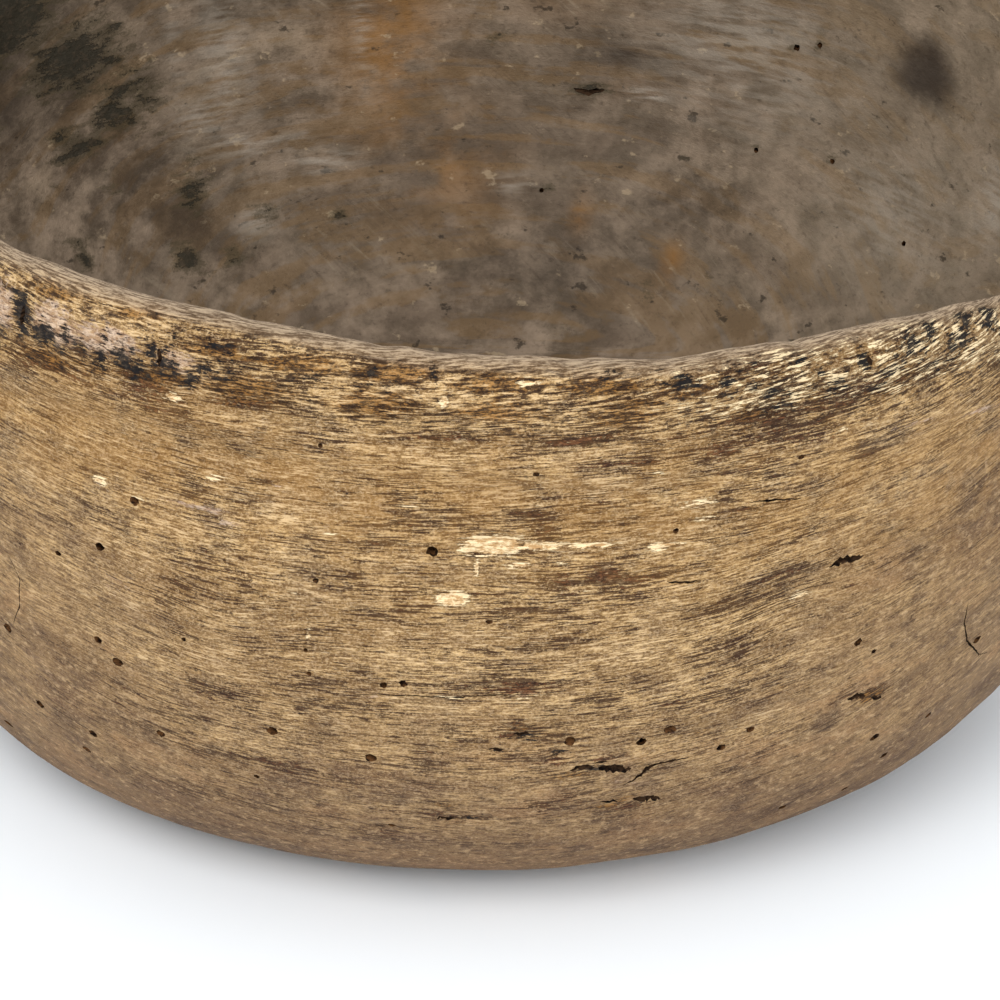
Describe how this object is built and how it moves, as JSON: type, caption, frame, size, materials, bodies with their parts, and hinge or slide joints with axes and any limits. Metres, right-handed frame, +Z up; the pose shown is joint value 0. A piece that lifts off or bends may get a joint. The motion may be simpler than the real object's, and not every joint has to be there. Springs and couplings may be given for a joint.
{
  "type": "carved wooden bowl",
  "caption": "Round hand-carved bowl hollowed from a single block of timber, with a wavy rounded lip, a thickened band below it and a flattened underside.",
  "frame": {"origin": "centre of the bowl's outline on the plane it stands on", "axes": "+Z up out of the mouth; +X along the grain of the block; -Y is the front of the bowl, +Y is the back"},
  "size_m": [0.3022, 0.2984, 0.1503],
  "materials": {
    "old_brown_timber": "dry, worn, hand-carved timber"
  },
  "bodies": {
    "root": {"carved_bowl": "old_brown_timber"}
  },
  "joints": []
}
